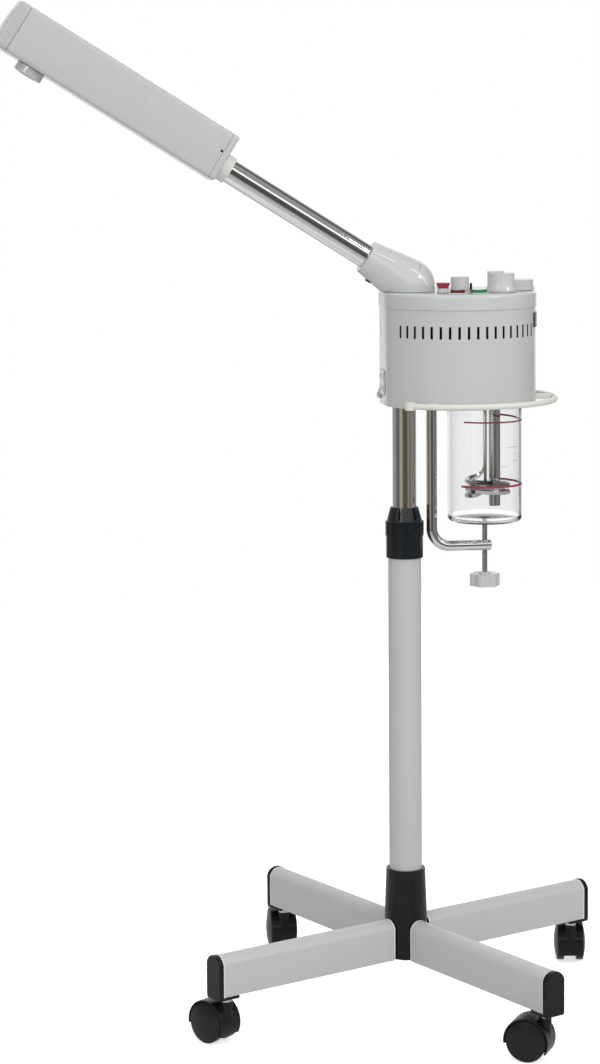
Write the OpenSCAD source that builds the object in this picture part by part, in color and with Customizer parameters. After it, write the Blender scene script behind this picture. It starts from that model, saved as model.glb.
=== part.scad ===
// Facial steamer on a rolling stand: a boiler head with a glass jar, a rising arm and a five-part column.
// The origin is on the floor under the column. The arm rises towards -X and the jar hangs on the +X side.

/* [Casters] */
// Diameter of a caster wheel
wheel_d = 45; // [40:0.5:50]
// Width of a wheel's tread
wheel_tread = 8; // [6:0.5:9]
// How far a wheel's outer face bulges
wheel_bulge = 3.5; // [2:0.5:5]
// Width of the hood's web between the two wheels
caster_web = 14.4; // [14:0.2:18]
// Thickness of the hood over the wheels
hood_wall = 2.1; // [1.5:0.1:3]
// Distance from the swivel axis back to the axle
caster_trail = 18; // [16:0.5:19]
// Radius of the boss that holds the stem
stem_boss_r = 7; // [6.6:0.1:7.1]
// Radius of the steel stem
stem_r = 5; // [4:0.1:5.5]
// Length of stem above the hood
stem_up = 37; // [30:0.5:42]
// Radius of the axle
axle_r = 2.5; // [2:0.1:3.5]
// Headings of the four casters: front left, front right, back left, back right
caster_headings = [130, 150, 90, 80];

/* [Stand] */
// Distance from the column axis to the outer face of an end cap
leg_reach = 268; // [240:1:320]
// Turn of the cross of legs about the column, from the plane of the arm
leg_turn = 26.5; // [0:0.5:45]
// Width of a leg
leg_w = 25; // [23:0.5:30]
// Height of a leg
leg_h = 45.5; // [42:0.5:56]
// Wall of a leg
leg_wall = 1.8; // [1.2:0.1:2.5]
// Length of the hub's tongue inside a leg
tongue_len = 45; // [35:1:60]
// Thickness of an end cap beyond the end of its leg
cap_t = 6; // [4:0.5:9]
// How far an end cap stands proud of the leg all round
cap_lip = 0.6; // [0.3:0.1:1.2]
// Thickness of the end cap's plate under the leg
cap_plate_t = 3.5; // [2.5:0.1:5]
// Distance from the outer face of an end cap in to the caster's swivel axis
stem_inset = 17; // [14:0.5:22]
// Visible neck of the stem between the hood and the end cap
neck_h = 4.5; // [3.5:0.1:6]
// Radius of the hub at its top
hub_top_r = 22.6; // [21.5:0.1:25]
// Radius of the hub between the legs
hub_r = 24.6; // [23.5:0.1:27]
// Height of the hub above the underside of the legs
hub_h = 103; // [80:1:140]

/* [Column] */
// Radius of the painted outer tube
tube_r = 19; // [18:0.1:20]
// Wall of the outer tube
tube_wall = 1.5; // [1.2:0.1:2]
// Length of the outer tube
tube_len = 478; // [430:1:520]
// Radius of the chrome inner post
post_r = 14; // [12:0.1:15]
// Wall of the inner post
post_wall = 1.5; // [1:0.1:2]
// Length of post inside the outer tube at rest
post_inside = 286; // [260:1:320]
// Height of the head's underside above the outer tube
post_out = 155; // [140:1:200]
// Length of the collar's skirt down the outer tube
collar_grip = 22; // [16:0.5:30]
// Radius of the collar's skirt
collar_r = 21.4; // [21:0.1:24]
// Radius of the collar nut over its flutes
nut_r = 22.2; // [21.8:0.1:24]
// Height of the fluted part of the collar nut
nut_h = 17; // [15:0.5:20]
// Height of the petals above the flutes
petal_h = 16; // [12:0.5:20]
// Number of flutes round the collar nut
flutes = 8; // [6:1:10]
// Number of petals above the flutes
petals = 6; // [4:1:8]

/* [Head] */
// Distance from the column axis to the housing's centre
head_x = 62.8; // [62:0.1:64]
// Outer radius of the housing
shell_r = 90; // [89:0.5:96]
// Distance from the housing's centre to its flat back
shell_flat = 87; // [86.5:0.1:88]
// Wall of the housing
shell_wall = 2; // [1.8:0.1:3]
// Height of the housing without its lid
shell_h = 112.5; // [112:0.5:130]
// Height of the lid above the housing
lid_h = 17.5; // [15:0.5:22]
// How far the lid stands out beyond the housing
lid_lip = 1; // [0.5:0.1:2]
// Radius of the lid's top edge
lid_round = 4; // [2:0.5:6]
// Thickness of the lid's top
lid_t = 2.5; // [2:0.1:4]
// Thickness of the base plate
base_t = 3.5; // [2.5:0.1:5]
// Number of slots in each side of the housing
slots = 18; // [12:1:18]
// Angle from one slot to the next
slot_pitch = 6.75; // [6:0.05:6.8]
// Width of a slot
slot_w = 2.6; // [1.5:0.1:3]
// Height of a slot
slot_h = 14; // [8:0.5:18]
// Distance of a slot's top below the housing's top edge
slot_drop = 18.5; // [12:0.5:40]
// Half the angle that the badge plate spans
badge_half = 27.5; // [20:0.5:28]
// Height of the badge plate
badge_h = 17; // [10:0.5:19]
// Distance of the badge plate's top below the housing's top edge
badge_drop = 6.5; // [5:0.5:30]

/* [Guard ring] */
// Radius of the ring's centre line
ring_r = 112; // [106:0.5:120]
// Radius of the ring's bar
ring_bar = 3.3; // [2.5:0.1:4]
// Half the angle that the ring spans about the front
ring_half = 130; // [125:1:135]
// Height of the ring's centre line above the housing's underside
ring_z = 6; // [5:0.5:9]

/* [Jar and boiler] */
// Distance from the column axis to the jar's axis
jar_x = 94.5; // [94:0.1:95]
// Outer radius of the jar
jar_r = 43; // [41:0.1:43.2]
// Wall of the jar
jar_wall = 2.5; // [2:0.1:3.5]
// Height of the jar
jar_h = 161; // [150:1:180]
// Height of jar hidden inside the housing
jar_in = 24; // [18:0.5:28]
// Radius of the jar's rounded foot
jar_foot = 9; // [5:0.5:12]
// Thickness of the jar's gasket
gasket_t = 3; // [2:0.1:4]
// Thickness of the boiler head's disc and skirt
boiler_t = 12; // [9:0.5:14]
// Radius of the level tube
level_r = 6.7; // [5:0.1:7]
// Height of the level tube's lower end above the jar's foot
level_up = 17; // [12:0.5:24]
// Radius of the heating coil's centre line
coil_r = 23.3; // [21:0.1:24]
// Radius of the coil's tube
coil_tube = 3.7; // [3:0.1:3.9]
// Radius of the heating tube's two legs
coil_leg = 2; // [1.6:0.1:2.4]
// Rise from one turn of the coil to the next
coil_pitch = 8.7; // [8.4:0.1:10]
// Turns of the coil
coil_turns = 2; // [2:1:3]
// Height of the lowest turn above the jar's foot
coil_up = 29.5; // [27:0.5:44]

/* [Jar clamp] */
// Distance from the column axis to the bracket rod
rod_x = 32; // [31:0.1:32.5]
// Radius of the bracket rod
rod_r = 6.35; // [5:0.05:6.5]
// Radius of the bend in the rod's centre line
rod_bend = 21; // [14:0.5:26]
// Distance of the rod's arm below the jar
rod_drop = 28.5; // [25:0.5:32]
// Length of rod beyond the clamp screw
rod_end = 7; // [5:0.5:12]
// Travel of the clamp screw
clamp_travel = 15; // [10:0.5:16]
// Radius of the clamp screw
screw_r = 3; // [2.5:0.1:3.5]
// Length of screw below the rod's axis, down to the knob
screw_down = 33.5; // [28:0.5:45]
// Radius of the pad on top of the screw
pad_r = 7; // [5:0.5:10]
// Thickness of the pad
pad_t = 3; // [2:0.1:3.2]
// Radius of the clamp knob
knob_r = 17.5; // [14:0.5:22]
// Height of the clamp knob
knob_h = 14; // [10:0.5:20]

/* [Controls] */
// Length of a rocker switch along the lid's edge
rocker_l = 17; // [14:0.5:18]
// Width of a rocker switch
rocker_w = 11; // [9:0.5:13]
// Distance from the housing's centre to the row of switches
rocker_ring = 67.5; // [60:0.5:68]
// Angles of the red and green rockers about the housing's centre
rocker_angles = [258.6, 279.1];
// Radius of the pilot lamp's lens
lamp_r = 8.2; // [6:0.1:8.4]
// Height of the lamp's white base
lamp_base_h = 6; // [3:0.5:8]
// Height of the lamp's lens above its base
lamp_lens_h = 5.8; // [3:0.1:8]
// Radius of the timer knob
timer_r = 10.5; // [8:0.5:12]
// Height of the timer knob
timer_h = 16; // [12:0.5:20]
// Radius of the vapour knob
vapour_r = 15.5; // [12:0.5:16]
// Height of the vapour knob without its grip
vapour_h = 22; // [16:0.5:26]
// Radius of the filler cap
filler_r = 24.5; // [22:0.5:25]
// Height of the filler cap
filler_h = 12.5; // [10:0.5:16]

/* [Arm] */
// Rise of the arm above level
arm_tilt = 32.3; // [30:0.1:40]
// Distance from the column axis to the elbow's swivel axis
elbow_x = 6.1; // [6:0.1:7]
// Height of the elbow's pivot point above the lid
elbow_up = 9.2; // [7:0.1:10]
// Radius of the elbow's foot
elbow_r = 30.3; // [29:0.1:30.5]
// Radius of the elbow's mouth
mouth_r = 19.75; // [18:0.05:21]
// Distance from the pivot point to the elbow's mouth
mouth_at = 59; // [54:0.5:70]
// Radius of the arm tube
arm_r = 14; // [12:0.1:14.5]
// Wall of the arm tube
arm_wall = 1.2; // [1:0.1:2]
// Distance from the pivot point to the ferrule
ferrule_at = 244.5; // [220:0.5:280]
// Length of the ferrule
ferrule_l = 12.3; // [8:0.1:16]
// Radius of the ferrule
ferrule_r = 16; // [15.8:0.1:18]
// Width of the arm box
box_w = 62; // [56:0.5:72]
// Height of the arm box
box_h = 57.5; // [54:0.5:66]
// Radius of the arm box's long edges
box_round = 5; // [3:0.5:8]
// Wall of the arm box
box_wall = 2.2; // [1.6:0.1:3]
// Length of the arm box between its caps
box_len = 265; // [230:1:300]
// Height of the box's axis above the arm tube's axis
box_off = 8.2; // [7:0.1:9]
// Thickness of the rear cap
rear_t = 8; // [5:0.5:12]
// Length of the front cap along its edges
front_t = 16; // [10:0.5:24]
// Radius of the front cap's bulging face
front_bulge_r = 139; // [110:1:200]
// Radius of the nozzle
nozzle_r = 16.9; // [16:0.1:19]
// Height of the nozzle below the box
nozzle_h = 10; // [7:0.5:16]
// Radius of the nozzle's outlet
outlet_r = 11; // [8:0.5:12]
// Distance from the front cap back to the nozzle's axis
nozzle_inset = 35; // [26:0.5:60]

/* [Clearances] */
// Gap between parts that only stand next to each other
gap = 0.3; // [0.2:0.05:0.4]
// Radial gap of a shaft that turns or slides in a bore
run = 0.1; // [0.05:0.01:0.1]

/* [Hidden] */
$fn = 96;

LIGHT = [0.80, 0.81, 0.81];
PALE = [0.86, 0.87, 0.87];
CREAM = [0.86, 0.84, 0.77];
BLACK = [0.09, 0.09, 0.095];
STEEL = [0.62, 0.62, 0.61];
CHROME = [0.75, 0.75, 0.74];
BRASS = [0.72, 0.56, 0.28];
RUBBER = [0.16, 0.16, 0.17];
GREEN = [0.1, 0.5, 0.25];
RED = [0.5, 0.06, 0.1];
LAMP = [0.72, 0.16, 0.15];
GLASS = [0.86, 0.90, 0.92, 0.4];

// Legs are numbered counterclockwise from the back right one.
back_right_index = 0;
back_left_index = 1;
front_left_index = 2;
front_right_index = 3;

// Heights that follow from the casters up
axle_z = wheel_d / 2;
hood_in_r = wheel_d / 2 + 0.9;
hood_r = hood_in_r + hood_wall;
hood_half = caster_web / 2 + gap + wheel_tread;
hood_far = 2 * hood_r;
hood_slope = 0.19;
boss_top = axle_z + hood_r;
stem_low = axle_z + 11;
leg_z = boss_top + neck_h + cap_plate_t;
leg_start = hub_r + 0.4;
leg_end = leg_reach - cap_t;
stem_at = leg_reach - stem_inset;
hub_top = leg_z + hub_h;
hub_floor = 10;
tube_z = leg_z + hub_floor;
tube_top = tube_z + tube_len;
tube_in = tube_r - tube_wall;
plug_t = 8;
dome_over = 0.5;
cap_plug_back = 3;
cap_ring_h = 3;
leg_screw_in = 12;
leg_screw_r = 2.3;
leg_screw_len = 16;
bolt_r = 5;

// Collar
collar_cap = 3;
collar_top = tube_top + collar_cap;
neck_top = collar_top + 13;
nut_z = collar_top + gap;
neck_out = post_r + 3.2;
nut_top = nut_z + nut_h + petal_h;
post_bore = post_r + 0.35;
bush_len = 40;

// Head
head_z = tube_top + post_out;
floor_z = head_z + base_t;
seam_z = head_z + shell_h;
lid_z = seam_z + lid_h;
slot_z = seam_z - slot_drop - slot_h;
badge_z = seam_z - badge_drop - badge_h;
shell_in = shell_r - shell_wall;
flat_in = shell_flat - shell_wall;
spigot_r = 17;
spigot_len = 18;
socket_wall = 3.9;
socket_r = post_r + run + socket_wall;
socket_h = 52;
socket_flange = 21;
post_z = tube_top - post_inside;
post_top = floor_z + socket_h - gap;
back_x = head_x - shell_flat;
plate_t = 2;
plate_z = head_z + 12;
plate_h = 28;
plate_w = 26;
plate_screw_r = 2;
plate_screw_y = 8;
plate_screw_zs = [plate_z + 7, plate_z + plate_h - 7];

// Jar and boiler
jar_z = head_z + jar_in - jar_h;
jar_top = jar_z + jar_h;
gasket_z = jar_top + gap;
boiler_z = gasket_z + gasket_t;
skirt_in = jar_r + 1.2;
skirt_out = skirt_in + 3.8;
level_x = jar_x + 11.8;
level_z = jar_z + level_up;
level_seat = 7;
boiler_top = boiler_z + boiler_t;
hose_r = 7;
hose_wall = 2;
hose_bend = 16;
hose_x = jar_x - 24;
hose_run_z = floor_z + socket_h + 38;
hose_top = lid_z - spigot_len - gap;

// Heating coil and its two legs
coil_x = jar_x + 3.5;
coil_z = jar_z + coil_up;
coil_top_z = coil_z + coil_turns * coil_pitch;
top_leg = [-2.1, 4.2];
low_leg = [-3.6, -4.2];
coil_steps = 24;
sweep_steps = 10;
sweep_turn = 50;
heater_top = boiler_top + 6;
top_straight_z = coil_top_z + 24;
top_sweep_h = 18;
low_straight_z = coil_z + 20;
low_sweep_h = 12;
top_from = atan2(top_leg[1], top_leg[0]);
top_to = top_from + sweep_turn;
low_from = top_to + 360 * coil_turns;
low_to = atan2(low_leg[1], low_leg[0]) + 360 * (coil_turns + 1);

// Pieces inside and behind the housing
inlet_w = 27;
inlet_h = 20;
inlet_at = [18, 47];
inlet_depth = 16;
board_size = [60, 1.6, 50];
board_y = 54;
choke_size = [20, 16, 24];

// Clamp
rod_z = jar_z - rod_drop;
rod_top = head_z + 45;
rod_boss_h = 34;
rod_collar_h = 5;
pad_z = jar_z - gap - pad_t;
screw_bottom = rod_z - screw_down;

// Controls
vapour_at = [42, -42];
filler_at = [64, -1.8];
lamp_at = [-25.6, -44.6];
lamp_stub_r = 5.4;
vapour_flare = 2.6;
vapour_foot_h = 8;
timer_at = [3, 0];
shaft_r = 3;
rocker_depth = 5;
rocker_rise = 5.2;
bezel_rise = 1.5;
bezel_rim = 1.5;
bezel_body = gap + 1.4;
rocker_pin_r = 1.2;
rocker_pin_z = -1.5;
rocker_pin_out = gap + 1;
filler_pipe_r = 12;
inflow_r = 3.2;
petal_slot = 2.4;

// Arm
elbow_z = lid_z + elbow_up;
steam_r = 9;
box_at = ferrule_at + ferrule_l;
box_from = box_at + rear_t;
box_to = box_from + box_len;
nozzle_at = box_to - nozzle_inset;
nozzle_neck = nozzle_r - 1.8;
screw_at = 42;
screw_seat = mouth_r + 1.9;

function arc(centre, r, from, to, steps) =
    [for (i = [0:steps]) let (a = from + (to - from) * i / steps) centre + r * [cos(a), sin(a)]];

// Outline of a rectangle with round corners, centred on the origin
function round_rect(w, h, r) =
    let (x = w / 2 - r, y = h / 2 - r)
    concat(arc([x, y], r, 0, 90, 6), arc([-x, y], r, 90, 180, 6),
        arc([-x, -y], r, 180, 270, 6), arc([x, -y], r, 270, 360, 6));

function unit(v) = v / norm(v);
function tangent(p, i) = unit(p[min(i + 1, len(p) - 1)] - p[max(i - 1, 0)]);
function normals(p, i = 0, before = [1, 0, 0.01]) =
    let (t = tangent(p, i), n = unit(before - (before * t) * t))
    i == len(p) - 1 ? [n] : concat([n], normals(p, i + 1, n));

// Solid tube through a list of points, with its own radius at each point
module tube_along(points, radii, sides) {
    n = normals(points);
    last = len(points) - 1;
    vertices = [for (i = [0:last])
        let (b = cross(tangent(points, i), n[i]))
        for (k = [0:sides - 1])
            points[i] + radii[i] * (cos(360 * k / sides) * n[i] + sin(360 * k / sides) * b)];
    walls = [for (i = [0:last - 1], k = [0:sides - 1])
        let (a = i * sides + k, b = i * sides + (k + 1) % sides)
        each [[a, a + sides, b], [b, a + sides, b + sides]]];
    start = [for (k = [1:sides - 2]) [0, k, k + 1]];
    finish = [for (k = [1:sides - 2]) [last * sides, last * sides + k + 1, last * sides + k]];
    polyhedron(vertices, concat(walls, start, finish));
}

module ring(r_out, r_in, h) {
    difference() {
        cylinder(r = r_out, h = h);
        translate([0, 0, -1]) cylinder(r = r_in, h = h + 2);
    }
}

// Round outline with a flat back, about the housing's centre
module d_outline(r, flat) {
    intersection() {
        circle(r = r);
        translate([-flat, -r]) square([flat + r, 2 * r]);
    }
}

module at_leg(i) {
    rotate([0, 0, leg_turn + 90 * i]) children();
}

// Section of a leg with its domed top, grown outwards by a margin
module leg_section(margin) {
    w = leg_w + 2 * margin;
    h = leg_h + 2 * margin;
    dome_r = leg_w / 2 + margin + dome_over;
    translate([0, -margin]) intersection() {
        translate([-w / 2, 0]) square([w, h]);
        union() {
            translate([0, h - dome_r]) circle(r = dome_r);
            translate([-w, 0]) square([2 * w, h - dome_r]);
        }
    }
}

// Length of leg section lying along +X from one distance to another
module leg_bar(from, to, margin) {
    translate([from, 0, leg_z]) rotate([90, 0, 90]) linear_extrude(to - from) leg_section(margin);
}

module hub() {
    color(BLACK) difference() {
        union() {
            translate([0, 0, leg_z]) cylinder(r = hub_r, h = leg_h + 2);
            translate([0, 0, leg_z + leg_h + 2]) cylinder(r1 = hub_r, r2 = hub_top_r, h = hub_h - leg_h - 2);
            for (i = [0:3]) at_leg(i) leg_bar(tube_r, leg_start + tongue_len, -leg_wall - gap / 2);
        }
        translate([0, 0, tube_z]) cylinder(r = tube_r + run, h = hub_h);
        translate([0, 0, leg_z - 1]) cylinder(r = bolt_r + run, h = hub_floor + 2);
        for (i = [0:3]) at_leg(i) leg_screw_hole(leg_screw_r + run);
    }
}

module leg_screw_hole(r) {
    translate([leg_start + tongue_len - leg_screw_in, 0, leg_z - 1]) cylinder(r = r, h = leg_screw_len + 6);
}

module leg(i) {
    color(LIGHT) at_leg(i) difference() {
        leg_bar(leg_start, leg_end, 0);
        leg_bar(leg_start - 1, leg_end + 1, -leg_wall);
        translate([stem_at, 0, leg_z - 1]) cylinder(r = stem_r + 0.6, h = leg_wall + 2);
        leg_screw_hole(leg_screw_r + gap);
    }
}

module leg_end_caps() {
    plug_len = leg_end - stem_at + stem_boss_r + cap_plug_back;
    color(BLACK) for (i = [0:3]) at_leg(i) difference() {
        union() {
            leg_bar(leg_end, leg_reach, cap_lip);
            leg_bar(leg_end - plug_len, leg_end + 1, -leg_wall - gap / 2);
            translate([leg_end - plug_len, -leg_w / 2, leg_z - cap_plate_t])
                cube([plug_len + cap_t, leg_w, cap_plate_t]);
            translate([stem_at, 0, leg_z - cap_plate_t])
                cylinder(r = stem_r + 0.5, h = cap_plate_t + cap_ring_h);
        }
        translate([stem_at, 0, boss_top]) cylinder(r = stem_r + run, h = stem_up + gap);
    }
}

module base_bolts() {
    color(BRASS) translate([0, 0, leg_z]) {
        cylinder(r = bolt_r, h = hub_floor + plug_t + 4);
        translate([0, 0, -1.5]) cylinder(r = 11, h = 1.5);
        translate([0, 0, -5.5]) cylinder(r = 8.5, h = 4.1, $fn = 6);
    }
    color(STEEL) for (i = [0:3]) at_leg(i) translate([leg_start + tongue_len - leg_screw_in, 0, leg_z]) {
        cylinder(r = leg_screw_r, h = leg_screw_len);
        translate([0, 0, -2]) cylinder(r = 4.5, h = 2);
    }
}

module outer_tube() {
    color(PALE) translate([0, 0, tube_z]) {
        difference() {
            cylinder(r = tube_r, h = tube_len);
            translate([0, 0, plug_t]) cylinder(r = tube_in, h = tube_len);
            translate([0, 0, -1]) cylinder(r = bolt_r + run, h = plug_t + 2);
        }
    }
}

module guide_bush() {
    color(CREAM) translate([0, 0, tube_top - bush_len]) ring(tube_in - 0.05, post_r + run, bush_len);
}

module collar_body() {
    color(BLACK) difference() {
        union() {
            translate([0, 0, tube_top - collar_grip]) cylinder(r = collar_r, h = collar_grip + collar_cap);
            translate([0, 0, tube_top]) cylinder(r = neck_out, h = neck_top - tube_top);
        }
        translate([0, 0, tube_top - collar_grip - 1]) cylinder(r = tube_r + 0.05, h = collar_grip + 1);
        translate([0, 0, tube_top - 1]) cylinder(r = post_bore, h = neck_top);
    }
}

module collar_nut() {
    color(BLACK) difference() {
        union() {
            translate([0, 0, nut_z]) cylinder(r = nut_r, h = nut_h);
            translate([0, 0, nut_z + nut_h]) cylinder(r1 = nut_r - 1.9, r2 = post_r + 2.1, h = petal_h);
        }
        translate([0, 0, nut_z - 1]) cylinder(r = post_bore, h = nut_top);
        translate([0, 0, nut_z - 1]) cylinder(r = neck_out + gap, h = neck_top + gap - nut_z + 1);
        for (i = [0:petals - 1]) rotate([0, 0, 360 * i / petals])
            translate([post_r - 2, -petal_slot / 2, nut_z + nut_h + 2]) cube([nut_r, petal_slot, petal_h]);
        for (i = [0:flutes - 1]) rotate([0, 0, 360 * (i + 0.5) / flutes])
            translate([nut_r + 2.2, 0, nut_z + 2.5]) cylinder(r = 3.4, h = nut_h + petal_h);
    }
}

module at_caster(i) {
    headings = [caster_headings[3], caster_headings[2], caster_headings[0], caster_headings[1]];
    at_leg(i) translate([stem_at, 0, 0]) rotate([0, 0, headings[i] - leg_turn - 90 * i]) children();
}

// A caster lies with its stem axis on Z and its axle at +X, along Y.
module along_axle() {
    translate([caster_trail, 0, axle_z]) rotate([-90, 0, 0]) children();
}

module caster_hood(i) {
    web = caster_web / 2;
    color(BLACK) at_caster(i) difference() {
        union() {
            along_axle() translate([0, 0, -hood_half]) cylinder(r = hood_r, h = 2 * hood_half);
            translate([0, 0, axle_z]) cylinder(r = stem_boss_r, h = hood_r);
        }
        along_axle() for (side = [-1, 1]) mirror([0, 0, side < 0 ? 1 : 0])
            translate([0, 0, web]) cylinder(r = hood_in_r, h = hood_half);
        along_axle() translate([0, 0, -web - 1]) cylinder(r = axle_r, h = caster_web + 2);
        translate([caster_trail, hood_half + 1, axle_z]) rotate([90, 0, 0])
            linear_extrude(2 * hood_half + 2)
                polygon([[-hood_far, -8.3 - hood_far * hood_slope], [hood_far, -8.3 + hood_far * hood_slope],
                    [hood_far, -hood_far], [-hood_far, -hood_far]]);
        translate([0, 0, stem_low]) cylinder(r = stem_r, h = boss_top);
    }
}

module caster_pins(i) {
    color(STEEL) at_caster(i) {
        translate([0, 0, stem_low]) cylinder(r = stem_r, h = boss_top + stem_up - stem_low);
        translate([0, 0, boss_top]) cylinder(r = stem_r + 1.5, h = neck_h - 1.5);
        along_axle() translate([0, 0, -hood_half]) cylinder(r = axle_r, h = 2 * hood_half);
    }
}

module caster_wheels(i) {
    inner = caster_web / 2 + gap;
    face_r = (pow(wheel_d / 2, 2) + pow(wheel_bulge, 2)) / (2 * wheel_bulge);
    outer = inner + wheel_tread + wheel_bulge;
    color(BLACK) at_caster(i) along_axle() for (side = [-1, 1]) mirror([0, 0, side < 0 ? 1 : 0])
        difference() {
            intersection() {
                translate([0, 0, inner]) cylinder(r = wheel_d / 2, h = outer - inner);
                translate([0, 0, outer - face_r]) sphere(r = face_r, $fn = 160);
            }
            translate([0, 0, inner - 1]) cylinder(r = axle_r + run, h = hood_half + gap - inner + 1);
        }
}

module inner_post() {
    color(CHROME) translate([0, 0, post_z]) ring(post_r, post_r - post_wall, post_top - post_z);
}

module post_foot() {
    color(CREAM) {
        translate([0, 0, post_z - 20]) cylinder(r = tube_in - 0.15, h = 20);
        translate([0, 0, post_z]) cylinder(r = post_r - post_wall - 0.05, h = 22);
    }
}

module base_plate() {
    color(LIGHT) difference() {
        union() {
            translate([head_x, 0, head_z]) linear_extrude(base_t) d_outline(shell_in - 0.1, flat_in - 0.1);
            translate([rod_x, 0, floor_z]) cylinder(r = rod_r + 3.4, h = rod_boss_h);
        }
        translate([0, 0, head_z - 1]) cylinder(r = post_bore, h = base_t + 2);
        translate([jar_x, 0, head_z - 1]) cylinder(r = skirt_in, h = base_t + 2);
        translate([rod_x, 0, head_z - 1]) cylinder(r = rod_r + run, h = rod_boss_h + base_t + 2);
        translate([inlet_at[0] - inlet_w / 2, inlet_at[1] - inlet_h / 2, head_z - 1])
            cube([inlet_w, inlet_h, base_t + 2]);
    }
}

module housing_shell() {
    color(LIGHT) difference() {
        translate([head_x, 0, head_z]) linear_extrude(shell_h) d_outline(shell_r, shell_flat);
        translate([head_x, 0, head_z - 1]) linear_extrude(shell_h + 2) d_outline(shell_in, flat_in);
        for (side = [90, 270], k = [0:slots - 1])
            translate([head_x, 0, slot_z]) rotate([0, 0, side + (k - (slots - 1) / 2) * slot_pitch])
                translate([shell_in - 4, -slot_w / 2, 0]) cube([shell_wall + 8, slot_w, slot_h]);
        plate_screw_holes(plate_screw_r);
    }
}

module plate_screw_holes(r) {
    for (y = [-plate_screw_y, plate_screw_y], z = plate_screw_zs)
        translate([back_x - plate_t - 1, y, z]) rotate([0, 90, 0]) cylinder(r = r, h = plate_t + 12);
}

module lid() {
    r = shell_r + lid_lip;
    flat = shell_flat + lid_lip;
    lip_out = shell_in - gap;
    color(LIGHT) translate([0, 0, seam_z]) difference() {
        translate([head_x, 0, 0]) union() {
            intersection() {
                rotate_extrude() polygon(concat(
                    [[0, lid_h - lid_t], [lip_out - 2, lid_h - lid_t], [lip_out - 2, -4], [lip_out, -4],
                        [lip_out, 0], [r, 0]],
                    arc([r - lid_round, lid_h - lid_round], lid_round, 0, 90, 6), [[0, lid_h]]));
                translate([-flat, -r - 1, -5]) cube([flat + r + 1, 2 * r + 2, lid_h + 10]);
            }
            intersection() {
                cylinder(r = r - lid_round, h = lid_h - lid_t / 2);
                translate([-flat, -r, 0]) cube([shell_wall + lid_lip, 2 * r, lid_h]);
            }
        }
        translate([head_x - flat - 1, -r, -5]) cube([flat + 1 - flat_in + gap, 2 * r, 5]);
        translate([elbow_x, 0, 0]) cylinder(r = spigot_r + run, h = lid_h + 1);
        translate([head_x, 0, 0]) {
            for (a = rocker_angles) rotate([0, 0, a]) translate([rocker_ring, 0, lid_h - lid_t - 1])
                translate([-rocker_w / 2 - bezel_body - 0.1, -rocker_l / 2 - bezel_body - 0.1, 0])
                    cube([rocker_w + 2 * bezel_body + 0.2, rocker_l + 2 * bezel_body + 0.2, lid_t + 2]);
            translate(lamp_at) cylinder(r = lamp_stub_r + 0.1, h = lid_h + 1);
            translate(timer_at) cylinder(r = shaft_r + run, h = lid_h + 1);
            translate(vapour_at) cylinder(r = shaft_r + run, h = lid_h + 1);
            translate(filler_at) cylinder(r = filler_pipe_r + run, h = lid_h + 1);
        }
    }
}

module post_socket() {
    color(STEEL) difference() {
        translate([0, 0, floor_z]) union() {
            cylinder(r = socket_r, h = socket_h + 4);
            cylinder(r = socket_flange, h = 4);
        }
        translate([0, 0, floor_z - 1]) cylinder(r = post_r + run, h = socket_h + 1);
        plate_screw_holes(plate_screw_r);
    }
}

module socket_plate() {
    color(PALE) {
        translate([back_x - plate_t, -plate_w / 2, plate_z]) cube([plate_t, plate_w, plate_h]);
        for (y = [-plate_screw_y, plate_screw_y], z = plate_screw_zs)
            translate([back_x - plate_t - 0.8, y, z]) rotate([0, 90, 0]) {
                cylinder(r = 3.2, h = 1);
                cylinder(r = plate_screw_r - 0.05, h = plate_t + 10);
            }
    }
}

// Mains inlet, let into the base plate from below
module power_inlet() {
    slot = [inlet_w - 3, inlet_h - 3.5, inlet_depth - 2];
    translate([inlet_at[0], inlet_at[1], head_z]) {
        color(BLACK) difference() {
            union() {
                translate([-inlet_w / 2 - 2.5, -inlet_h / 2 - 2.5, -1.2])
                    cube([inlet_w + 5, inlet_h + 5, 1.2]);
                translate([-inlet_w / 2 + 0.1, -inlet_h / 2 + 0.1, -0.1])
                    cube([inlet_w - 0.2, inlet_h - 0.2, inlet_depth]);
            }
            translate([-slot[0] / 2, -slot[1] / 2, -2]) cube([slot[0], slot[1], slot[2] + 2]);
        }
        color(BRASS) for (pin = [[-7, -2], [0, 2], [7, -2]])
            translate([pin[0] - 2, pin[1] - 1, 2]) cube([4, 2, inlet_depth - 3]);
    }
}

module badge_plate() {
    color(BLACK) translate([head_x, 0, badge_z]) rotate([0, 0, -badge_half])
        rotate_extrude(angle = 2 * badge_half) translate([shell_r + 0.05, 0]) square([1.2, badge_h]);
}

module guard_ring() {
    strut_in = shell_r + 0.1;
    color(CREAM) translate([head_x, 0, head_z + ring_z]) {
        rotate([0, 0, -ring_half]) rotate_extrude(angle = 2 * ring_half)
            translate([ring_r, 0]) circle(r = ring_bar, $fn = 24);
        for (a = [-119, -58, 58, 119]) rotate([0, 0, a])
            translate([strut_in, -4, -2.4]) cube([ring_r - strut_in, 8, 4.8]);
        translate([strut_in, -11, -2.4]) cube([ring_r - strut_in, 22, 4.8]);
        for (a = [-ring_half, ring_half]) rotate([0, 0, a])
            translate([ring_r, 0, -4.5]) cylinder(r = 5.8, h = 9);
    }
}

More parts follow.
